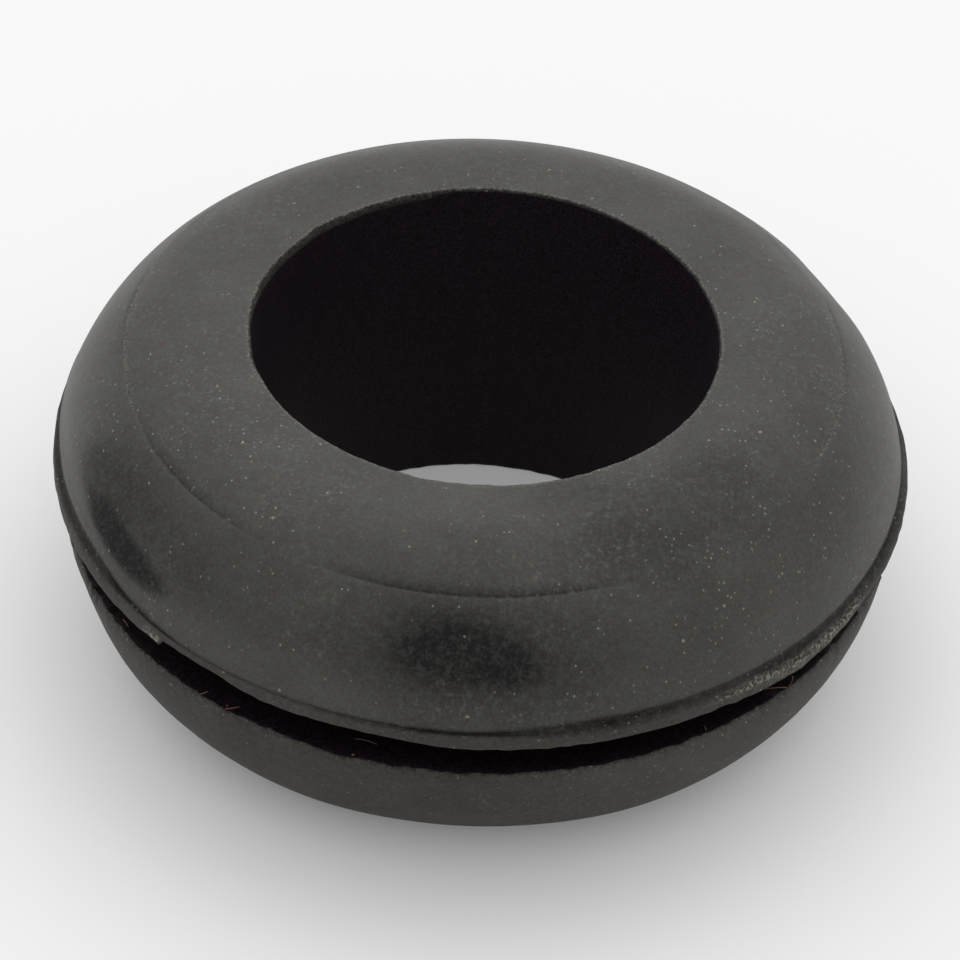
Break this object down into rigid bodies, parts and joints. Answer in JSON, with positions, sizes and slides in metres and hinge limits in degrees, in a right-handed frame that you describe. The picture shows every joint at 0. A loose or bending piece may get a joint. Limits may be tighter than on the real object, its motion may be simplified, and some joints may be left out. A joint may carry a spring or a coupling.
{
  "type": "rubber grommet",
  "caption": "Round rubber grommet with a domed flange either side of a groove that grips a panel's edge, and a straight bore for a cable.",
  "frame": {"origin": "centre of the lower flange's flat land, on the bore's axis, at the lowest face", "axes": "+Z along the bore, from the torn lower flange to the upper flange with the lip of flash; X and Y are free, because the part is round"},
  "size_m": [0.026, 0.026, 0.0112],
  "materials": {
    "moulded_rubber": "satin, dusty, as moulded"
  },
  "bodies": {
    "root": {"grommet": "moulded_rubber"}
  },
  "joints": []
}
